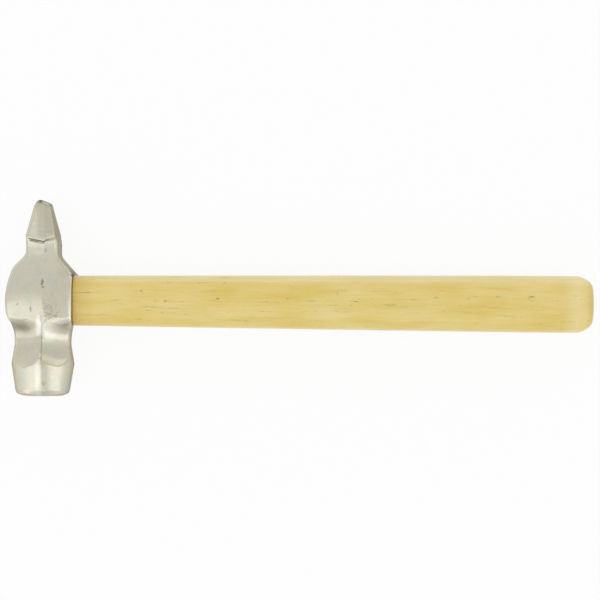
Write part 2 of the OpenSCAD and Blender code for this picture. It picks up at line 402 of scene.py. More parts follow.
def lobe_height(x, y):
    """Half thickness to which the lobes hollow the waist."""
    across = seam_offset(x, y)
    floor = RIDGE_T / 2 - fallen(across, RIDGE_ROUND, LOBE_SLOPE)
    run = y + LOBE_REACH
    by_ridge = 1 / (1 + (across / RIDGE_HALF_W) ** 2)
    top_r = between(LOBE_TOP_R, LOBE_RIDGE_R, by_ridge)
    cusp_r = between(*LOBE_CUSP_R, smooth_step(0.5 + across / 2))
    low_r = between(LOBE_R, cusp_r, by_ridge)
    rise = np.where(run > 0, hollow_rise(run, top_r), hollow_rise(run, low_r))
    return floor + rise / math.cos(LOBE_SLOPE)


def lip_groove(across, y):
    """Depth of the groove under the lip."""
    depth = between(GROOVE_DEPTH[1], GROOVE_DEPTH[0], smooth_step(0.5 - across / GROOVE_TURN_W))
    under_lip_painted_shade = (y - lip_line(across) + GROOVE_W) / GROOVE_W
    within = smooth_step((GROOVE_HALF_RUN - np.abs(across)) / GROOVE_FADE)
    return depth * np.exp(-under_lip_painted_shade ** 2) * within


def cheek_dent(across, y):
    """Depth of the mark on the forging line near the cheek's upper end."""
    half_w, half_l = CHEEK_DENT_HALF
    off = np.hypot(across / half_w, (y - CHEEK_DENT_Y) / half_l)
    return CHEEK_DENT_DEPTH * smooth_step(1 - off / CHEEK_DENT_SOFT)


def body_height(x, y):
    """Half thickness of the cheeks and the neck."""
    across = seam_offset(x, y)
    drop = fallen(across, CHEEK_TOP_ROUND, CHEEK_DRAFT)
    fall = CROWN_Y - y
    crown = np.hypot(fall, CROWN_ROUND[0]) - np.hypot(fall - CROWN_RUN, CROWN_ROUND[1]) + CROWN_RUN
    crown = crown / 2 * between(*CROWN_SLOPE, smooth_step(0.5 - across / 4))
    cheek = CHEEK_T / 2 - drop - crown
    below = np.maximum(LIP_REACH - NECK_HOLLOW_DROP - y, 0)
    above = np.maximum(y - LIP_REACH + NECK_LIP_RUN, 0)
    neck = NECK_T / 2 - drop + below ** 2 / (2 * NECK_HOLLOW_R) + above ** 2 / (2 * NECK_LIP_R)
    return lower(cheek, neck, NECK_BLEND) - lip_groove(across, y) - cheek_dent(across, y)


def seam_ridge(x, y, half_t):
    """The low ridge that the dies left along the poll, but not on its waist or face."""
    height, half_w = SEAM_RIDGE
    ridge = height * np.maximum(0, 1 - np.abs(seam_offset(x, y)) / half_w) ** 2
    ridge = ridge * passed(half_t, SEAM_RIDGE_Z, SEAM_RIDGE_FADE)
    return ridge * passed(y, FACE_RIM_H - POLL_REACH, SEAM_RIDGE_FADE)


def seam_flash(x, y):
    """The thin flash that the dies left along the forging line."""
    height, half_w = SEAM_FLASH
    return height * np.exp(-(seam_offset(x, y) / half_w) ** 2)


def steepness(height, x, y, reach=0.05):
    """How much steeper than flat a height of (x, y) makes the field over it."""
    slope_x = (height(x + reach, y) - height(x - reach, y)) / (2 * reach)
    slope_y = (height(x, y + reach) - height(x, y - reach)) / (2 * reach)
    return np.sqrt(1 + slope_x ** 2 + slope_y ** 2)


def side_field(x, y, z):
    """The walls round the eye's body, the neck and the peen."""
    out = y - FLANK_FOOT_REACH
    narrowing = (FLANK_FOOT_X - NOSE_CORNER[0]) / (NOSE_CORNER[1] - FLANK_FOOT_REACH)
    flank = x - FLANK_FOOT_X + narrowing * out + FLANK_RELEASE * np.minimum(out + 1, 0)
    flank = flank + FLANK_LEAN * np.maximum(out, 0) * (PEEN_T / 2 - z)
    side = np.maximum(outline_distance(x, y, FRONT), flank)
    lean = between(SEAT_LEAN, NECK_LEAN, passed(y, *NECK_LEAN_ALONG))
    lean = lean * passed(x, *LEAN_ACROSS) * passed(y, *LEAN_ALONG)
    side = side + lean * np.clip(z + NECK_T / 2, 0, CHEEK_T)
    over_seat = x - SEAT_REACH
    over_burr = (over_seat + z + SEAT_BURR_DROP) * SEAT_BURR_SLOPE
    return np.maximum(side, np.minimum(over_seat, over_burr))


def peen_field(across, y, half_t):
    """The peen's two faces, its end and its lip."""
    drop = fallen(across, PEEN_TOP_ROUND, CHEEK_DRAFT)
    peen = both(half_t + drop - PEEN_T / 2, y - PEEN_REACH, NOSE_END_R)
    lip_r = between(*LIP_R, smooth_step(across / LIP_TURN_W))
    return both(peen, (lip_line(across) - y) * math.cos(LIP_SLOPE), lip_r)


def eye_field(x, y, z):
    """The eye, which is narrowest in its middle."""
    eye_r = EYE_MOUTH_W / 2 - EYE_TAPER * (1 - np.abs(x - EYE_MIDDLE_X) / EYE_HALF_RUN)
    return np.hypot(np.maximum(np.abs(y) - EYE_HALF_PITCH, 0), z) - eye_r


def head_field(x, y, z):
    """Close to the distance to the head's surface, negative inside it."""
    half_t = np.abs(z)
    across = seam_offset(x, y)
    flash = seam_flash(x, y)

    roof = (half_t - body_height(x, y) - flash * 0.5) / steepness(body_height, x, y)
    roof = np.maximum(roof, y - lip_line(across) - LIP_OVERLAP)
    fillet = between(*LIP_FILLET, smooth_step(across / LIP_TURN_W))
    top = either(roof, peen_field(across, y, half_t), fillet)
    edge_r = between(EDGE_R, NOSE_EDGE_R, passed(y, FLANK_FOOT_REACH, NOSE_EDGE_RUN))
    body = both(top, side_field(x, y, z), edge_r)
    body = np.maximum(body, -BODY_END_REACH - y)

    poll = outline_distance(np.hypot(x, z), y, POLL) + POLL_INSET - seam_ridge(x, y, half_t)
    solid = either(body, poll, POLL_BLEND)
    lobe = (half_t - lobe_height(x, y) - flash) / steepness(lobe_height, x, y)
    solid = both(solid, lobe, between(CHEEK_BLEND, SCALLOP_R, passed(y, *SCALLOP_FADE)))
    middle_x = WAIST_W / 2 + WAIST_HOLLOW_R
    waist = WAIST_HOLLOW_R - np.hypot(np.abs(x) - middle_x, y + WAIST_REACH)
    solid = both(solid, waist, WAIST_EDGE_R)
    return both(solid, -eye_field(x, y, z), EYE_RIM_R)


# Meshes

def surface_net(field, low, high, step, slab=12):
    """Closed quad surface where a field of (x, y, z) is zero, with its points moved on to it."""
    counts = [int(math.ceil((h - l) / step)) + 1 for l, h in zip(low, high)]
    axes = [l + step * np.arange(n) for l, n in zip(low, counts)]
    values = np.empty(counts)
    for i in range(0, counts[0], slab):
        part = axes[0][i:i + slab, None, None]
        values[i:i + slab] = field(part, axes[1][None, :, None], axes[2][None, None, :])

    cells = [n - 1 for n in counts]
    place, crossings = edge_crossings(values, cells)
    active = crossings > 0
    number = np.full(cells, -1)
    number[active] = np.arange(active.sum())
    spots = np.argwhere(active) + (place[:, active] / crossings[active]).T
    points = np.array(low) + spots * step
    quads = [net_quads(values < 0, cells, number, axis) for axis in range(3)]
    return settle(field, points), np.concatenate(quads)


def edge_crossings(values, cells):
    """For each cell, the sum of the places where the surface cuts its edges, and how many do."""
    def at_corner(offset):
        return values[tuple(slice(k, k + n) for k, n in zip(offset, cells))]

    place = np.zeros([3] + cells)
    crossings = np.zeros(cells)
    for axis in range(3):
        others = [k for k in range(3) if k != axis]
        for u in (0, 1):
            for v in (0, 1):
                start = [0, 0, 0]
                start[others[0]], start[others[1]] = u, v
                end = list(start)
                end[axis] = 1
                va, vb = at_corner(start), at_corner(end)
                hit = (va < 0) != (vb < 0)
                share = np.where(hit, va / np.where(hit, va - vb, 1), 0)
                crossings += hit
                for k in range(3):
                    place[k] += hit * (start[k] + (share if k == axis else 0))
    return place, crossings


def net_quads(inside, cells, number, axis):
    """The faces that cross the grid's edges along one axis."""
    u, v = [(1, 2), (2, 0), (0, 1)][axis]
    low_side = [slice(None)] * 3
    high_side = [slice(None)] * 3
    low_side[axis] = slice(0, -1)
    high_side[axis] = slice(1, None)
    a, b = inside[tuple(low_side)], inside[tuple(high_side)]
    where = np.argwhere(a != b)
    keep = (where[:, u] > 0) & (where[:, v] > 0)
    keep &= (where[:, u] < cells[u]) & (where[:, v] < cells[v])
    where = where[keep]
    step_u = np.eye(3, dtype=int)[u]
    step_v = np.eye(3, dtype=int)[v]
    corners = [where - step_u - step_v, where - step_v, where, where - step_u]
    quads = np.stack([number[tuple(c.T)] for c in corners], axis=1)
    flip = b[tuple(where.T)]
    quads[flip] = quads[flip][:, ::-1]
    return quads


def gradient(field, points, reach=0.02):
    """Slope of a field at points."""
    slopes = []
    for k in range(3):
        shift = np.zeros(3)
        shift[k] = reach
        ahead, behind = points + shift, points - shift
        slopes.append((field(*ahead.T) - field(*behind.T)) / (2 * reach))
    return np.stack(slopes, axis=1)


def settle(field, points, rounds=3, least_slope=0.05, longest_move=0.3):
    """Moves points on to the zero of a field."""
    for _ in range(rounds):
        slope = gradient(field, points)
        squared = np.maximum((slope ** 2).sum(axis=1), least_slope)
        move = (field(*points.T) / squared)[:, None] * slope
        points = points - np.clip(move, -longest_move, longest_move)
    return points


def to_frame(points):
    """Millimetres about the hub to metres in the frame."""
    return np.asarray(points) * MM + np.array(HUB)


def mesh_object(name, points, faces, smooth=True):
    """A mesh object from points about the hub."""
    mesh = bpy.data.meshes.new(name)
    mesh.from_pydata(to_frame(points).tolist(), [], [list(map(int, f)) for f in faces])
    mesh.polygons.foreach_set("use_smooth", [smooth] * len(mesh.polygons))
    mesh.update()
    piece = bpy.data.objects.new(name, mesh)
    bpy.context.scene.collection.objects.link(piece)
    return piece


def dents(point, form):
    """Unevenness of one size at a point."""
    size, shift, depth = form
    return depth * noise.noise(Vector(point / size + shift))


def forged_dents(points):
    """How deep the forging's unevenness is at each point, in millimetres."""
    off_x = (points[:, 0] - SCALE_MIDDLE[0]) / SCALE_R
    off_y = (points[:, 1] - SCALE_MIDDLE[1]) / SCALE_R
    scale = np.exp(-off_x ** 2 - off_y ** 2)
    depth = np.empty(len(points))
    for i, p in enumerate(points):
        depth[i] = DENT_DEPTH + dents(p, BROAD_DENTS) + dents(p, FINE_DENTS)
        depth[i] += scale[i] * dents(p, SCALE_DENTS)
    return depth


def make_head():
    """The head, with its dents pressed into the surface."""
    margin = HEAD_MARGIN
    low = (-BULGE_REACH - margin, -POLL_REACH - margin, -POLL_R - margin)
    high = (SEAT_BURR[0] + margin, PEEN_REACH + margin, POLL_R + margin)
    points, quads = surface_net(head_field, low, high, HEAD_GRID)
    slope = gradient(head_field, points)
    normal = slope / np.linalg.norm(slope, axis=1)[:, None]
    points = points - normal * forged_dents(points)[:, None]
    return mesh_object("forged_head", points, quads)


# The handle, from rings of points round its axis

def ring(x, reach, angles):
    """A ring of points at some reach from the axis."""
    return np.stack([np.full(len(angles), x), reach * np.cos(angles), reach * np.sin(angles)], axis=1)


def body_ring(x, angles, shrink=0.0, share=1.0):
    """The handle's oval section, drawn in by a distance and then to a share of its size."""
    swell = min(1, max(0, (x - SEAT_REACH) / SWELL_RUN)) ** SWELL_POWER
    half_h, half_t = (between(a, b, swell) / 2 for a, b in zip(HANDLE_NECK, HANDLE_GRIP))
    up = np.abs(np.cos(angles) / ((half_h - shrink) * share))
    out = np.abs(np.sin(angles) / ((half_t - shrink) * share))
    reach = (up ** SECTION_POWER + out ** SECTION_POWER) ** (-1 / SECTION_POWER)
    return ring(x, reach, angles)


def butt_rings(angles):
    """The butt's rounded corner, then its slightly domed end."""
    rings = []
    for i in range(1, BUTT_RINGS + 1):
        into = math.sin(math.pi / 2 * i / BUTT_RINGS)
        x = BUTT_X - BUTT_DOME - (BUTT_ROUND_L - BUTT_DOME) * (1 - into)
        share = between(BUTT_FLAT, 1, (1 - into ** BUTT_POWER) ** (1 / BUTT_POWER))
        rings.append(body_ring(x, angles, share=share))
    for i in range(1, DOME_RINGS + 1):
        out = max(1 - i / DOME_RINGS, BUTT_TIP)
        rings.append(body_ring(BUTT_X - BUTT_DOME * out ** 2, angles, share=BUTT_FLAT * out))
    return rings


def tongue_radius(x):
    """Radius of the tongue's round ends, which follow the eye."""
    return EYE_MOUTH_W / 2 - FIT_GAP - EYE_TAPER * (1 - abs(x - EYE_MIDDLE_X) / EYE_HALF_RUN)


def tongue_ring(x, angles, shrink=0.0):
    """The tongue's section, with flat sides and round ends."""
    r = tongue_radius(x) - shrink
    sine = np.abs(np.sin(angles))
    cosine = np.abs(np.cos(angles))
    flat = r / np.maximum(sine, 1e-6)
    inner = np.sqrt(np.maximum(r * r - (EYE_HALF_PITCH * sine) ** 2, 0))
    round_end = EYE_HALF_PITCH * cosine + inner
    reach = np.where(flat * cosine <= EYE_HALF_PITCH, flat, round_end)
    return ring(x, reach, angles)


def loft(rings):
    """Closed surface through rings of equally many points."""
    count = len(rings[0])
    faces = []
    for k in range(len(rings) - 1):
        for i in range(count):
            j = (i + 1) % count
            faces.append((k * count + i, k * count + j, (k + 1) * count + j, (k + 1) * count + i))
    faces.append(tuple(reversed(range(count))))
    last = (len(rings) - 1) * count
    faces.append(tuple(range(last, last + count)))
    return np.concatenate(rings), faces


def carve(piece, cutters):
    """Cuts closed meshes out of a piece."""
    for cutter in cutters:
        modifier = piece.modifiers.new("cut", "BOOLEAN")
        modifier.operation = "DIFFERENCE"
        modifier.solver = "EXACT"
        modifier.object = cutter
    ready = piece.evaluated_get(bpy.context.evaluated_depsgraph_get())
    carved = bpy.data.meshes.new_from_object(ready)
    piece.modifiers.clear()
    piece.data = carved
    for cutter in cutters:
        bpy.data.objects.remove(cutter)


def slot_cutter(sizes, middle, half_width, across):
    """A tapered slot for a wedge, from just outside the tongue's end inwards."""
    top, tip, length = sizes
    widening = (top - tip) / (2 * length) * SLOT_START
    ends = [
        (TONGUE_END_X - SLOT_START, top / 2 + FIT_GAP + widening),
        (TONGUE_END_X + length, tip / 2 + FIT_GAP),
    ]
    points = []
    for x, half in ends:
        for u, v in ((-1, -1), (1, -1), (1, 1), (-1, 1)):
            y, z = (u * half, v * half_width) if across else (u * half_width, v * half)
            points.append((x, middle + y, z))
    faces = [(3, 2, 1, 0), (4, 5, 6, 7), (0, 1, 5, 4), (1, 2, 6, 5), (2, 3, 7, 6), (3, 0, 4, 7)]
    return mesh_object("slot", points, faces, smooth=False)


def steel_slots():
    """The slots of the two steel wedges, which cross the wooden one."""
    half_w = STEEL_WEDGE_W / 2 + FIT_GAP
    middles = (-STEEL_WEDGE_PITCH / 2, STEEL_WEDGE_PITCH / 2)
    return [slot_cutter(STEEL_WEDGE, middle, half_w, True) for middle in middles]


def make_handle():
    """The handle: its tongue, shoulder, body and butt, with the kerf and the wedges' slots."""
    angles = np.linspace(0, 2 * math.pi, HANDLE_TURNS, endpoint=False)
    shoulder_x = SEAT_REACH + SHOULDER_GAP
    rings = [tongue_ring(TONGUE_END_X, angles, TONGUE_CHAMFER)]
    tongue_run = np.linspace(TONGUE_END_X + TONGUE_CHAMFER, shoulder_x, TONGUE_RINGS)
    rings += [tongue_ring(x, angles) for x in tongue_run]
    rings += [body_ring(shoulder_x + out, angles, shrink) for out, shrink in SHOULDER_EDGE]
    body_run = np.linspace(shoulder_x + SHOULDER_RUN, BUTT_X - BUTT_ROUND_L, BODY_RINGS)
    rings += [body_ring(x, angles) for x in body_run]
    rings += butt_rings(angles)
    points, faces = loft(rings)
    handle = mesh_object("turned_handle", points, faces)
    kerf_w = KERF_W - 2 * FIT_GAP
    kerf = (kerf_w, kerf_w, KERF_DEPTH)
    wood_slots = [slot_cutter(sizes, 0, SLOT_HALF_W, False) for sizes in (kerf, WOOD_WEDGE)]
    carve(handle, wood_slots + steel_slots())
    return handle


def make_wooden_wedge():
    """A wedge as wide as the tongue, with the tongue's round ends and broken end edges."""
    top, tip, length = WOOD_WEDGE
    rings = []
    ring_run = np.linspace(WOOD_WEDGE_FIRST_RING, length, WOOD_WEDGE_RINGS)
    for into in (0.0, TONGUE_CHAMFER, *ring_run):
        half_t = between(top, tip, into / length) / 2
        r = tongue_radius(TONGUE_END_X + into) - max(0, TONGUE_CHAMFER - into)
        corner_y = EYE_HALF_PITCH + math.sqrt(r * r - half_t * half_t)
        section = [(EYE_HALF_PITCH + r, 0), (corner_y, half_t), (-corner_y, half_t)]
        section += [(-y, -z) for y, z in section]
        rings.append(np.array([(TONGUE_END_X + into, y, z) for y, z in section]))
    points, faces = loft(rings)
    wedge = mesh_object("wooden_wedge_cut", points, faces, smooth=False)
    carve(wedge, steel_slots())
    return wedge


# Materials

def srgb(red, green, blue):
    """A colour from the usual 0 to 255 values, as Blender's linear one."""
    def linear(value):
        value /= 255
        return value / 12.92 if value <= 0.04045 else ((value + 0.055) / 1.055) ** 2.4
    return (linear(red), linear(green), linear(blue), 1.0)


class Shader:
    """A material's nodes, with a short way to add and join them."""

    def __init__(self, name):
        self.material = bpy.data.materials.new(name)
        self.material.use_nodes = True
        self.tree = self.material.node_tree
        self.bsdf = self.tree.nodes["Principled BSDF"]

    def add(self, kind, inputs=None, **settings):
        node = self.tree.nodes.new(kind)
        for key, value in settings.items():
            setattr(node, key, value)
        for key, value in (inputs or {}).items():
            self.put(node.inputs[key], value)
        return node

    def put(self, socket, value):
        if isinstance(value, bpy.types.NodeSocket):
            self.tree.links.new(value, socket)
        else:
            socket.default_value = value

    def math(self, operation, a, b=0.0, clamp=False):
        node = self.add("ShaderNodeMath", {0: a, 1: b}, operation=operation, use_clamp=clamp)
        return node.outputs[0]

    def times(self, a, b):
        return self.math("MULTIPLY", a, b)

    def minus(self, a, b):
        return self.math("SUBTRACT", a, b)

    def away(self, value, middle=0.0):
        """How far a value lies from a middle, either way."""
        return self.math("ABSOLUTE", self.minus(value, middle))

    def vector(self, operation, a, b=(0, 0, 0), c=None):
        inputs = {0: a, 1: b} if c is None else {0: a, 1: b, 2: c}
        return self.add("ShaderNodeVectorMath", inputs, operation=operation)

    def place(self, scale=(1, 1, 1), shift=(0, 0, 0)):
        """Place on the piece in millimetres about the hub, stretched per axis and then moved."""
        point = self.add("ShaderNodeTexCoord").outputs["Object"]
        factors = tuple(s / MM for s in scale)
        offset = tuple(move - centre * factor for move, centre, factor in zip(shift, HUB, factors))
        return self.vector("MULTIPLY_ADD", point, factors, offset).outputs["Vector"]

    def axes(self, vector):
        return self.add("ShaderNodeSeparateXYZ", {0: vector}).outputs

    def noise(self, vector, detail=3.0, roughness=0.5):
        inputs = {"Vector": vector, "Scale": 1.0, "Detail": detail, "Roughness": roughness}
        return self.add("ShaderNodeTexNoise", inputs).outputs["Fac"]

    def spread(self, value, low, high, at_low=0.0, at_high=1.0):
        inputs = {"Value": value, "From Min": low, "From Max": high}
        inputs.update({"To Min": at_low, "To Max": at_high})
        return self.add("ShaderNodeMapRange", inputs, clamp=True).outputs["Result"]

    def overlap(self, measures, spans, share=None):
        """A share times each span's own, given as (measure, low, high, at low, at high)."""
        for name, *span in spans:
            part = self.spread(measures[name], *span)
            share = part if share is None else self.times(share, part)
        return share

    def wavy(self, pattern, reach):
        """Places that a pattern shifts to and fro, for marks with uneven edges."""
        shift = self.times(self.minus(pattern, 0.5), reach)
        return self.vector("ADD", self.place(), shift).outputs["Vector"]

    def blots(self, place, spots, soft):
        """Where a face seen from above has spots, as (x, y, half length, half width, strength)."""
        total = None
        for x, y, half_x, half_y, strength in spots:
            offset = (-x / half_x, -y / half_y, 0)
            inside = self.vector("MULTIPLY_ADD", place, (1 / half_x, 1 / half_y, 0), offset)
            reach = self.vector("LENGTH", inside.outputs["Vector"]).outputs["Value"]
            spot = self.spread(reach, 1 - soft, 1 + soft, strength, 0)
            total = spot if total is None else self.math("MAXIMUM", total, spot)
        return total

    def mix(self, share, first, second):
        node = self.add("ShaderNodeMix", {"Factor": share}, data_type="RGBA")
        self.put(node.inputs[6], first)
        self.put(node.inputs[7], second)
        return node.outputs[2]

    def bump(self, height, strength, distance):
        inputs = {"Height": height, "Strength": strength, "Distance": distance}
        self.put(self.bsdf.inputs["Normal"], self.add("ShaderNodeBump", inputs).outputs["Normal"])

    def set(self, **values):
        for key, value in values.items():
            self.put(self.bsdf.inputs[key.replace("_", " ")], value)


# Spots on the head as (x, y, half length, half width, strength): dark marks on its upper side, the two
# on the cheek's dent being painted shade in it; the rough scale on the cheek; painted shade in the
# hollows beside the waist and faintly on the right cheek; and painted highlights and reflections
# The first two marks are painted shade in the cheek's dent, the others dark marks in the skin
HEAD_MARKS = [
    (0.6, 9.8, 0.5, 1.7, 0.75), (1.1, 7.2, 0.5, 0.5, 0.7), (-0.8, 54.0, 1.1, 1.3, 0.95),
    (2.0, 27.2, 0.4, 1.0, 0.4), (-12.6, -2.2, 0.6, 0.5, 0.35), (-5.4, -4.6, 0.5, 1.6, 0.55),
    (7.8, -8.6, 0.7, 0.6, 0.45), (1.9, -45.0, 0.7, 1.2, 0.3),
]
HEAD_SCALE = [(4.6, -5.8, 4.6, 5.2, 0.6)]
# Painted shade in the hollows beside the waist, and faintly on the cheek's right side
HEAD_PAINTED_SHADE = [
    (-9.4, -15.0, 6.6, 3.4, 0.66), (11.8, -15.4, 4.2, 2.4, 0.25), (8.5, 3.0, 6.5, 10.0, 0.09),
]
# Painted highlights and reflections: beside the waist's ridge, on the lobes, along the cheek's edge and
# on the poll
HEAD_PAINTED_HIGHLIGHTS = [
    (-1.1, -14.0, 1.5, 4.5, 0.65), (4.6, -16.6, 4.4, 3.0, 0.55), (9.0, -11.2, 4.0, 1.3, 0.4),
    (15.8, -4.5, 0.9, 8.5, 0.55), (-1.1, -43.5, 1.4, 8.5, 0.5),
]

# Tints of the head, in the order in which they are laid on, as a colour and the spans whose
# shares are multiplied together. A span is (measure, low, high, share at low, share at high),
# and steel_measures says what each measure is.
NEAR_WAIST = ("off_waist", 14, 17, 1.0, 0.0)
OFF_WALLS = ("level", 0.1, 0.35, 0.0, 1.0)
HEAD_TINTS = {
    # Painted shade on the side walls, standing for the shadowed floor that they reflect
    "walls_painted_shade": ((140, 136, 117), [("level", 0.1, 0.85, 0.42, 0.0), ("facing_x", -0.5, 0.6, 0.25, 1.0)]),
    # Painted shade in the corner between the seat's wall and the handle
    "seat_corner_painted_shade": ((104, 96, 80), [
        ("x", 13.5, 15.5, 0.0, 1.0), ("y", 14.5, 18.5, 0.55, 0.0),
        ("y", 13.0, 13.6, 0.0, 1.0), ("level", 0.3, 0.7, 1.0, 0.0),
    ]),
    # Painted shade on the tilted, rounded edge above the seat, towards the neck
    "shoulder_edge_painted_shade": ((160, 156, 136), [
        ("level", 0.3, 0.5, 0.0, 1.0), ("level", 0.9, 0.99, 0.4, 0.0), ("x", 7.5, 9.5, 0.0, 1.0),
        ("y", 12.0, 15.0, 0.0, 1.0), ("y", 24.0, 27.0, 1.0, 0.0),
    ]),
    # Painted shade on the lobes' upper walls, which face the poll
    "lobes_upper_walls_painted_shade": ((136, 130, 106), [("facing_y", -0.85, -0.4, 0.5, 0.0), NEAR_WAIST]),
    # Painted shade on the lobes' lower walls, which face the peen
    "lobes_lower_walls_painted_shade": ((184, 179, 154), [("facing_y", 0.05, 0.4, 0.0, 0.4), NEAR_WAIST]),
    # Painted shade on the poll right of the forging line, the dark side of its reflection
    "beside_seam_painted_shade": ((176, 172, 146), [
        ("x", SEAM_X, SEAM_X + 0.3, 0.0, 1.0), ("x", 2.5, 6, 0.42, 0.0),
        ("y", -35, -32, 1.0, 0.0), OFF_WALLS,
    ]),
    # Painted highlights and reflections in the bright spots listed above
    "painted_highlights": ((253, 250, 241), [OFF_WALLS]),
    # Painted shade over the peen's face, all but a band along its left edge, which thus reads as lit
    "peen": ((170, 166, 145), [("y", LIP_REACH, LIP_REACH + 3, 0.0, 0.4), ("x", -3.6, -1.4, 0.0, 1.0)]),
    # Painted shade on the nose's end rounding, where it faces along the head
    "nose": ((160, 156, 134), [("facing_y", 0.15, 0.4, 0.0, 0.4), ("y", 44, 48, 0.0, 1.0)]),
    # Painted shadow in the groove under the lip
    "under_lip_painted_shade": ((106, 100, 78), [
        ("off_lip", 0.35, 0.9, 1.0, 0.0), ("lip_across", -0.4, 0.4, 0.5, 0.05),
        ("off_lip_middle", 7.6, 8.6, 1.0, 0.0),
    ]),
    "seam": ((140, 136, 108), [("off_seam", 0.15, 0.5, 0.45, 0.0), ("off_ridge", 9, 13, 1.0, 0.0)]),
    # Painted shade in the hollows beside the waist and on the right cheek
    "hollows": ((130, 124, 100), []),
    "scale": ((150, 146, 118), []),
    # Dark marks, of which those in the cheek's dent are painted shade
    "marks": ((96, 88, 66), [("z", 7.5, 9.5, 0.0, 1.0)]),
    "face": ((232, 230, 216), [("facing_y", -0.97, -0.85, 0.45, 0.0), ("y", -50.5, -49.5, 1.0, 0.0)]),
}
# The seat is kept out of the walls' painted shade, as light as the cheek, and the burr above it gets
# the corner's painted shade
SEAT_SPANS = [
    ("x", SEAT_REACH - 1.2, SEAT_REACH - 0.4, 0.0, 1.0), ("y", -20, -17, 0.0, 1.0),
    ("y", 12.5, 13.5, 1.0, 0.0),
]
BURR_SHADE_SPANS = [("x", SEAT_REACH + 0.1, SEAT_REACH + 0.4, 0.0, 0.5)]
WAIST_MIDDLE_Y = -20.0
RIDGE_MIDDLE_Y = -22.5
# How far the painted shadow under the lip sits below the lip's line
LIP_SHADE_DROP = 0.35


def steel_measures(s):
    """What the head's tints go by: place, facing, and distance from lines along the head."""
    facing = s.axes(s.add("ShaderNodeTexCoord").outputs["Normal"])
    spot = s.axes(s.place())
    lip_across = s.minus(spot["X"], SEAM_X + SEAM_LEAN)
    lip_y = s.times(s.away(lip_across), math.tan(LIP_SLOPE))
    lip_y = s.minus(lip_y, s.spread(lip_across, -LIP_STEP_W / 2, LIP_STEP_W / 2, LIP_STEP, 0.0))
    return {
        "x": spot["X"],
        "y": spot["Y"],
        "z": spot["Z"],
        "facing_x": facing["X"],
        "facing_y": facing["Y"],
        "level": s.away(facing["Z"]),
        "off_waist": s.away(spot["Y"], WAIST_MIDDLE_Y),
        "off_ridge": s.away(spot["Y"], RIDGE_MIDDLE_Y),
        "off_seam": s.away(spot["X"], SEAM_X),
        "lip_across": lip_across,
        "off_lip_middle": s.away(lip_across),
        "off_lip": s.away(s.minus(spot["Y"], LIP_REACH - LIP_SHADE_DROP), lip_y),
    }


def plated_steel():
    """The head's satin plating over a forged skin, with painted shade, highlights and reflections laid
    on its colour.
    """
    s = Shader("plated_steel")
    broad = s.noise(s.place((0.12, 0.12, 0.12)), detail=2)
    patches = s.noise(s.place((0.35, 0.22, 0.35), (7, 2, 4)), detail=3)
    skin = s.noise(s.place((1.1, 1.1, 1.1)), detail=4, roughness=0.6)
    speckle = s.noise(s.place((0.8, 0.8, 0.8), (3, 3, 3)), detail=5, roughness=0.7)
    base = s.mix(s.spread(broad, 0.35, 0.65), srgb(221, 214, 193), srgb(214, 214, 200))
    base = s.mix(s.spread(patches, 0.45, 0.75, 0.0, 0.35), base, srgb(203, 201, 172))

    at = steel_measures(s)
    # Painted shade in the hollows' spots
    hollows = s.blots(s.place(), HEAD_PAINTED_SHADE, 0.6)
    scale = s.blots(s.place(), HEAD_SCALE, 0.5)
    own_shares = {
        "walls_painted_shade": s.minus(1.0, s.overlap(at, SEAT_SPANS)),
        # Painted highlights and reflections
        "painted_highlights": s.blots(s.place(), HEAD_PAINTED_HIGHLIGHTS, 0.6),
        "hollows": s.times(hollows, s.spread(patches, 0.2, 0.6, 0.6, 1.0)),
        "scale": s.times(scale, s.spread(speckle, 0.48, 0.6)),
        "marks": s.blots(s.wavy(skin, 3.0), HEAD_MARKS, 0.6),
    }
    shares = {}
    for name, (_, spans) in HEAD_TINTS.items():
        shares[name] = s.overlap(at, spans, own_shares.get(name))
    # The burr gets the seat corner's painted shade too
    shares["seat_corner_painted_shade"] = s.math("MAXIMUM", shares["seat_corner_painted_shade"], s.overlap(at, BURR_SHADE_SPANS))
    for name, (colour, _) in HEAD_TINTS.items():
        base = s.mix(shares[name], base, srgb(*colour))

    rough = s.math("ADD", s.spread(skin, 0.3, 0.7, 0.24, 0.34), s.times(shares["hollows"], 0.2))
    rough = s.math("ADD", rough, s.times(shares["walls_painted_shade"], 0.3))
    s.set(Base_Color=base, Metallic=1.0, Roughness=rough)
    s.bsdf.inputs["Specular Tint"].default_value = srgb(196, 192, 176)
    s.bump(skin, 0.16, 0.00012)
    return s.material


# Dark flecks in the wood's upper face, in the form of the head's spots
WOOD_MARKS = [
    (22, 4.4, 4.9, 0.22, 0.7), (40, 0.5, 2.2, 0.2, 0.5), (54, 5.4, 0.8, 0.27, 0.6),
    (67, 0.1, 0.5, 0.4, 0.9), (86, 10.0, 1.6, 0.22, 0.5), (95, 1.4, 0.8, 0.38, 0.9),
    (133, 1.7, 0.6, 0.3, 0.6), (146, 0.8, 1.9, 0.22, 0.7), (160, 5.2, 0.2, 1.6, 0.4),
    (170, 0.7, 2.2, 0.22, 0.7), (188, -1.1, 3.5, 0.22, 0.5), (201, 2.0, 1.4, 0.22, 0.6),
    (231, 2.8, 0.6, 0.27, 0.5), (265, 3.9, 1.6, 0.27, 0.9), (279, 1.8, 0.6, 0.27, 0.6),
    (214, 3.1, 1.4, 0.22, 0.5), (247, 3.8, 1.2, 0.25, 0.7), (289, 4.6, 1.2, 0.27, 0.5),
    (29, -7.7, 8.0, 0.27, 0.35), (52, -9.7, 2.4, 0.22, 0.45), (60, -3.2, 4.9, 0.2, 0.45),
    (71, -3.9, 4.9, 0.2, 0.45), (73, 13.2, 5.9, 0.25, 0.5), (99, 13.0, 3.0, 0.25, 0.5),
    (105, -9.8, 3.0, 0.22, 0.35), (124, -8.6, 13.0, 0.22, 0.3),
]
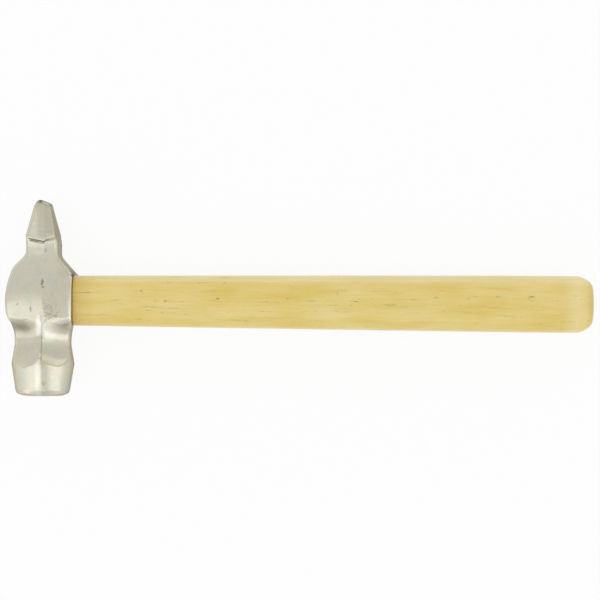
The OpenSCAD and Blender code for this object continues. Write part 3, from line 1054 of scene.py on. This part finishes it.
# Distance between growth lines, how far they wander and how much they follow the thickness
GRAIN_PITCH = 4.6
GRAIN_WANDER = 14.0
GRAIN_TILT = 0.45
PALE_BAND_X = BUTT_X - 10

# Tints of the wood in the form of the head's: painted sheen on the upper edge, painted shade beside
# the head, a painted shadow at the joint with it, the pale band before the butt, the butt's end grain
# and the tongue inside the eye
WOOD_TINTS = [
    # Painted sheen on the upper edge
    ((238, 225, 184), [("y", 9, 14, 0.0, 0.4)]),
    # Painted shade beside the head
    ((206, 172, 80), [("x", SEAT_REACH, SEAT_REACH + 12, 0.55, 0.0)]),
    # Painted shadow at the joint with the head
    ((160, 138, 80), [("x", SEAT_REACH + 0.3, SEAT_REACH + 1.8, 0.1, 0.0)]),
    ((243, 226, 172), [("off_band", 0.0, 8.0, 0.5, 0.0)]),
    ((198, 171, 90), [("x", BUTT_X - 5, BUTT_X - 1.5, 0.0, 0.55)]),
    ((176, 138, 80), [("x", SEAT_REACH - 3, SEAT_REACH - 2, 0.5, 0.0)]),
]


def handle_wood():
    """Pale hardwood under a satin lacquer, with growth lines, flecks and dark marks, a painted sheen on
    its upper edge and painted shade next to the head.
    """
    s = Shader("handle_wood")
    spot = s.axes(s.place())
    flow = s.noise(s.place((0.012, 0.06, 0.06)), detail=2)
    patches = s.noise(s.place((0.035, 0.13, 0.13)), detail=3)
    fibres = s.noise(s.place((0.05, 1.6, 1.6)), detail=4, roughness=0.6)
    tone = s.math("ADD", s.times(patches, 0.65), s.times(fibres, 0.35))
    colour = s.mix(s.spread(tone, 0.33, 0.67), srgb(234, 213, 138), srgb(223, 196, 93))

    across = s.math("ADD", spot["Y"], s.times(spot["Z"], GRAIN_TILT))
    across = s.math("ADD", across, s.times(flow, GRAIN_WANDER))
    off_line = s.away(s.math("FRACT", s.math("DIVIDE", across, GRAIN_PITCH)), 0.5)
    breaks = s.noise(s.place((0.05, 0.35, 0.35), (5, 5, 5)), detail=2)
    line = s.times(s.spread(off_line, 0.0, 0.08, 0.3, 0.0), s.spread(breaks, 0.45, 0.7))
    colour = s.mix(line, colour, srgb(190, 152, 84))

    dashes = s.noise(s.place((0.3, 2.4, 2.4), (9, 3, 1)), detail=1)
    flecks = s.times(s.spread(dashes, 0.66, 0.72), s.spread(off_line, 0.0, 0.2, 1.0, 0.0))
    marks = s.blots(s.wavy(s.noise(s.place((0.25, 1, 1))), 1.6), WOOD_MARKS, 0.7)
    marks = s.times(marks, s.spread(spot["Z"], 0.0, 2.0))
    dark = s.math("MAXIMUM", s.times(flecks, 0.7), marks)
    colour = s.mix(s.times(dark, 0.8), colour, srgb(120, 88, 44))

    at = {"x": spot["X"], "y": spot["Y"], "off_band": s.away(spot["X"], PALE_BAND_X)}
    for tint, spans in WOOD_TINTS:
        colour = s.mix(s.overlap(at, spans), colour, srgb(*tint))
    s.set(Base_Color=colour, Roughness=s.spread(fibres, 0.3, 0.7, 0.36, 0.48))
    s.bsdf.inputs["Coat Weight"].default_value = 0.6
    s.bsdf.inputs["Coat Roughness"].default_value = 0.2
    s.bump(s.minus(fibres, s.times(dark, 0.5)), 0.3, 0.00008)
    return s.material


def wedge_wood():
    """Raw end grain with open pores."""
    s = Shader("wedge_wood")
    pores = s.noise(s.place((0.3, 3.5, 3.5)), detail=3)
    s.set(Base_Color=s.mix(s.spread(pores, 0.35, 0.65), srgb(190, 150, 96), srgb(146, 104, 60)))
    s.set(Roughness=s.spread(pores, 0.3, 0.7, 0.65, 0.85))
    s.bump(pores, 0.4, 0.0001)
    return s.material


def wedge_steel():
    """Dull steel with drawing marks along the wedge."""
    s = Shader("wedge_steel")
    marks = s.noise(s.place((2.5, 0.6, 2.5)), detail=3)
    s.set(Base_Color=s.mix(s.spread(marks, 0.3, 0.7), srgb(168, 166, 160), srgb(128, 126, 121)))
    s.set(Metallic=1.0, Roughness=s.spread(marks, 0.3, 0.7, 0.4, 0.6))
    s.bump(marks, 0.3, 0.00008)
    return s.material


def dress(piece, material):
    """Gives a piece its only material and, where it is a new mesh, its slot."""
    piece.data.materials.clear()
    piece.data.materials.append(material)


# The pieces

head = make_head()
dress(head, plated_steel())
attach(head, "root")
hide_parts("head")

handle = make_handle()
dress(handle, handle_wood())
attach(handle, "root")
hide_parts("handle")

wooden_wedge = make_wooden_wedge()
dress(wooden_wedge, wedge_wood())
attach(wooden_wedge, "root")
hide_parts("wooden_wedge")

wedge_metal = wedge_steel()
for wedge_name in ("steel_wedge_upper", "steel_wedge_lower"):
    dress(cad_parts[wedge_name], wedge_metal)


# Stage: a pale floor with a low upturned rim, leaning so that the poll, cheek and butt rest on it

FLOOR_R = 3.0
FLOOR_INNER_R = (0.05, 0.6)
FLOOR_TURNS = 96
FLOOR_GAP = 0.0003
RIM_R = 1.0
RIM_H = 0.75
RIM_STEPS = 12
CHEEK_FOOT_REACH = 11.8
FLOOR_GREY = 0.95
FLOOR_GLOW_SHARE = 0.9


def floor_material():
    """Diffuse grey for the light, nearly white for the camera and in reflections."""
    s = Shader("pale_floor")
    s.set(Base_Color=(FLOOR_GREY, FLOOR_GREY, FLOOR_GREY, 1.0), Roughness=0.9)
    s.bsdf.inputs["Specular IOR Level"].default_value = 0.0
    ray = s.add("ShaderNodeLightPath")
    seen = s.math("ADD", ray.outputs["Is Camera Ray"], ray.outputs["Is Glossy Ray"])
    seen = s.math("ADD", seen, ray.outputs["Is Transmission Ray"], clamp=True)
    glow = s.add("ShaderNodeEmission", {"Color": (1.0, 1.0, 1.0, 1.0), "Strength": 1.0})
    share = s.times(seen, FLOOR_GLOW_SHARE)
    mixed = s.add("ShaderNodeMixShader", {0: share, 1: s.bsdf.outputs[0], 2: glow.outputs[0]})
    s.put(s.tree.nodes["Material Output"].inputs["Surface"], mixed.outputs[0])
    return s.material


def floor_mesh():
    """A disc whose rim turns up, as rings of points about the world's axis in metres."""
    angles = np.linspace(0, 2 * math.pi, FLOOR_TURNS, endpoint=False)
    profile = [(r, 0.0) for r in (*FLOOR_INNER_R, FLOOR_R - RIM_R)]
    for i in range(1, RIM_STEPS + 1):
        turn = math.pi / 2 * i / RIM_STEPS
        profile.append((FLOOR_R - RIM_R + RIM_R * math.sin(turn), RIM_H * (1 - math.cos(turn))))
    points = [(r * math.cos(a), r * math.sin(a), z) for r, z in profile for a in angles]
    count = len(angles)
    faces = [tuple(range(count))]
    for k in range(len(profile) - 1):
        for i in range(count):
            j = (i + 1) % count
            faces.append((k * count + i, (k + 1) * count + i, (k + 1) * count + j, k * count + j))
    mesh = bpy.data.meshes.new("floor")
    mesh.from_pydata(points, [], faces)
    mesh.polygons.foreach_set("use_smooth", [True] * len(mesh.polygons))
    mesh.materials.append(floor_material())
    return mesh


def make_floor():
    """The floor, through the three points on which the hammer rests."""
    floor = bpy.data.objects.new("floor", floor_mesh())
    bpy.context.scene.collection.objects.link(floor)
    poll_foot = HUB + Vector((0, -POLL_WIDE_REACH, -POLL_R)) * MM
    cheek_foot = HUB + Vector((0, CHEEK_FOOT_REACH, -CHEEK_T / 2)) * MM
    butt_foot = HUB + Vector((BUTT_X - BUTT_ROUND_L, 0, -HANDLE_GRIP[1] / 2)) * MM
    up = (butt_foot - poll_foot).cross(cheek_foot - poll_foot).normalized()
    tilt = Vector((0, 0, 1)).rotation_difference(up).to_matrix().to_4x4()
    floor.matrix_world = Matrix.Translation(poll_foot - up * FLOOR_GAP) @ tilt


make_floor()


# Light: an even room, three soft boxes on the picture's lower side, and a low strip on its upper side

ROOM_LEVEL = 0.8
BOX_DISTANCE = 1.4
# Direction from the hammer, width, length and brightness of each soft box
BOXES = {
    "soft_box_left": ((-0.70, -0.41, 0.64), 0.7, 2.0, 0.5),
    "soft_box_right": ((0.76, -0.32, 0.62), 0.7, 1.6, 0.55),
    "soft_box_middle": ((0.02, -0.50, 0.87), 0.35, 0.6, 0.6),
    "strip_box_far": ((0.0, 1.0, 0.22), 2.4, 0.4, 0.7),
}


def soft_box(name, side, width, length, level):
    """A rectangular lamp at some distance from the hammer, which faces the hammer."""
    data = bpy.data.lights.new(name, "AREA")
    data.shape = "RECTANGLE"
    data.size, data.size_y = width, length
    data.energy = level * math.pi * width * length
    lamp = bpy.data.objects.new(name, data)
    side = Vector(side).normalized()
    lamp.location = side * BOX_DISTANCE
    lamp.rotation_euler = (-side).to_track_quat("-Z", "Y").to_euler()
    bpy.context.scene.collection.objects.link(lamp)


def make_room():
    """White light from all round."""
    world = bpy.data.worlds.new("room")
    world.use_nodes = True
    background = world.node_tree.nodes["Background"]
    background.inputs["Color"].default_value = (1.0, 1.0, 1.0, 1.0)
    background.inputs["Strength"].default_value = ROOM_LEVEL
    bpy.context.scene.world = world


make_room()
for box_name, box_form in BOXES.items():
    soft_box(box_name, *box_form)


# Camera: above the hammer at the photograph's distance and roll

VIEW_DISTANCE = 1.3
VIEW_WIDTH = 0.327
CAMERA_X = 139.8
CAMERA_Y = 1.25
CAMERA_ROLL = math.radians(0.45)
SENSOR = 36.0

camera_data = bpy.data.cameras.new("camera")
camera_data.sensor_width = SENSOR
camera_data.lens = SENSOR * VIEW_DISTANCE / VIEW_WIDTH
camera = bpy.data.objects.new("camera", camera_data)
camera.location = HUB + Vector((CAMERA_X, CAMERA_Y, VIEW_DISTANCE / MM)) * MM
camera.rotation_euler = (0, 0, CAMERA_ROLL)
bpy.context.scene.collection.objects.link(camera)
bpy.context.scene.camera = camera
bpy.context.scene.view_settings.view_transform = "Standard"
